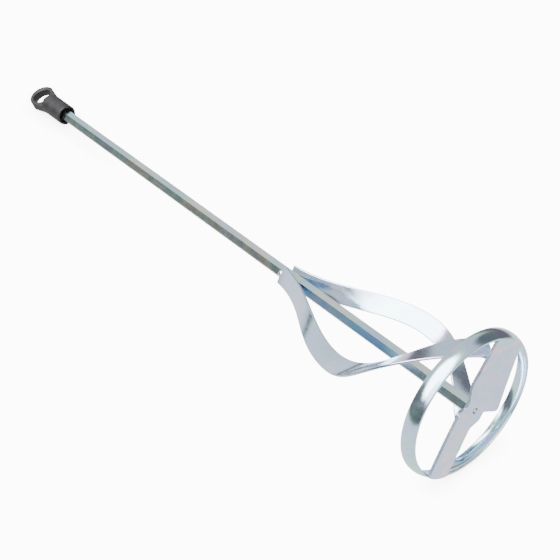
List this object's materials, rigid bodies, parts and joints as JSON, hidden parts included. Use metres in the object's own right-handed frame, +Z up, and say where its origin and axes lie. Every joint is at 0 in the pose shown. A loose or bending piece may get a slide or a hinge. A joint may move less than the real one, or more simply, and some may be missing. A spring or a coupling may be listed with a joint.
{
  "type": "mortar mixing paddle",
  "caption": "Welded mortar mixing paddle: hexagon shaft, spiral flat-bar blades, pitched crossbar and foot ring, with a push-on cap and hanging loop on the shank.",
  "frame": {"origin": "on the shaft's axis, level with the lowest edges of the crossbar's wings, which the paddle stands on", "axes": "+Z up the shaft to the shank, +X along the crossbar"},
  "size_m": [0.12, 0.1231, 0.5916],
  "materials": {
    "bar_zinc": "drawn bar, bright zinc plated",
    "blade_zinc": "flat bar, bright zinc plated, faintly blue",
    "ring_zinc": "rolled band, bright zinc plated",
    "plate_zinc": "stamped plate, bright zinc plated, faint pink and blue tint",
    "weld_metal": "weld bead under zinc plating",
    "cap_rubber": "moulded, matt black"
  },
  "bodies": {
    "paddle": {"hex_shaft": "bar_zinc", "blade_a": "blade_zinc", "blade_b": "blade_zinc", "bottom_ring": "ring_zinc", "crossbar": "plate_zinc", "hub_plug_weld": "weld_metal", "shaft_foot_weld": "weld_metal", "ring_welds": "weld_metal", "blade_top_welds": "weld_metal", "blade_foot_welds": "weld_metal"},
    "cap": {"shank_cap": "cap_rubber"}
  },
  "joints": [
    {"name": "cap_pull", "type": "slide", "parent": "paddle", "child": "cap", "axis": [0, 0, 1], "range_m": [0, 0.04]}
  ]
}
